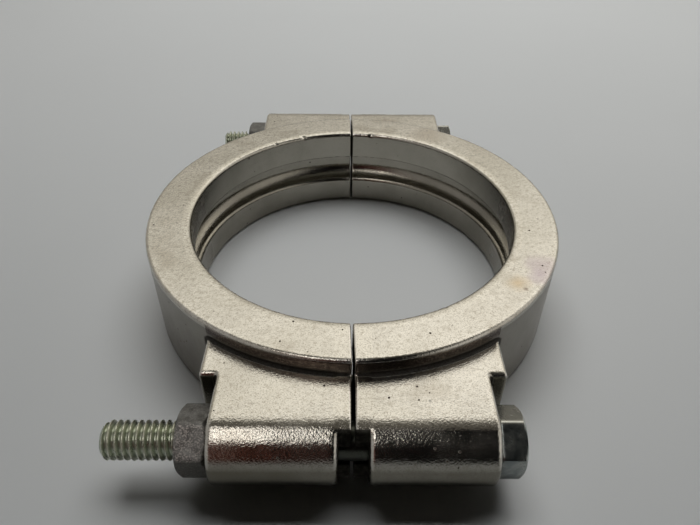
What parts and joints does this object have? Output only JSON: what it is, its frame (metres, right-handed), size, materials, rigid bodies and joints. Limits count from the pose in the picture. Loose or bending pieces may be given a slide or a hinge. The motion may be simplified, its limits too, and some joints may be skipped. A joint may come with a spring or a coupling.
{
  "type": "pipe repair clamp",
  "caption": "Split cast clamp ring for a pipe: mirrored half rings with a lug at each end, drawn together by hex bolts and nuts.",
  "frame": {"origin": "on the bore's axis, in the plane of the clamp's lower face, midway between the halves", "axes": "+Z along the bore's axis, up off the surface the clamp lies on; +Y from the front lug to the back lug; +X along the bolts towards their heads"},
  "size_m": [0.1088, 0.1456, 0.0254],
  "materials": {
    "cast_alloy": "satin casting, warm nickel tone, finely pebbled, machined bore",
    "bolt_steel": "zinc plated, dull, threads with a yellow-green tint",
    "nut_steel": "dull dark grey, dusty"
  },
  "bodies": {
    "left_half": {"left_half": "cast_alloy"},
    "right_half": {"right_half": "cast_alloy"},
    "front_bolt": {"front_bolt": "bolt_steel"},
    "back_bolt": {"back_bolt": "bolt_steel"},
    "front_nut": {"front_nut": "nut_steel"},
    "back_nut": {"back_nut": "nut_steel"}
  },
  "joints": [
    {"name": "halves_spread", "type": "slide", "parent": "left_half", "child": "right_half", "axis": [1, 0, 0], "range_m": [-0.00047, 0.01054]},
    {"name": "front_nut_turn", "type": "hinge", "parent": "left_half", "child": "front_nut", "pos_m": [-0.0316, -0.0643, 0.0127], "axis": [-1, 0, 0], "range_deg": [-120, 2690]},
    {"name": "back_nut_turn", "type": "hinge", "parent": "left_half", "child": "back_nut", "pos_m": [-0.0337, 0.0643, 0.0107], "axis": [-1, 0, 0], "range_deg": [-120, 2690]},
    {"name": "front_bolt_draw", "type": "slide", "parent": "left_half", "child": "front_bolt", "axis": [1, 0, 0], "range_m": [-0.00048, 0.01055]},
    {"name": "back_bolt_draw", "type": "slide", "parent": "left_half", "child": "back_bolt", "axis": [1, 0, 0], "range_m": [-0.00048, 0.01055]}
  ],
  "couplings": [
    {"joint": "front_nut_turn", "follows": "halves_spread", "rad_per_m": 4452.6},
    {"joint": "back_nut_turn", "follows": "halves_spread", "rad_per_m": 4452.6},
    {"joint": "front_bolt_draw", "follows": "halves_spread", "ratio": 1},
    {"joint": "back_bolt_draw", "follows": "halves_spread", "ratio": 1}
  ]
}
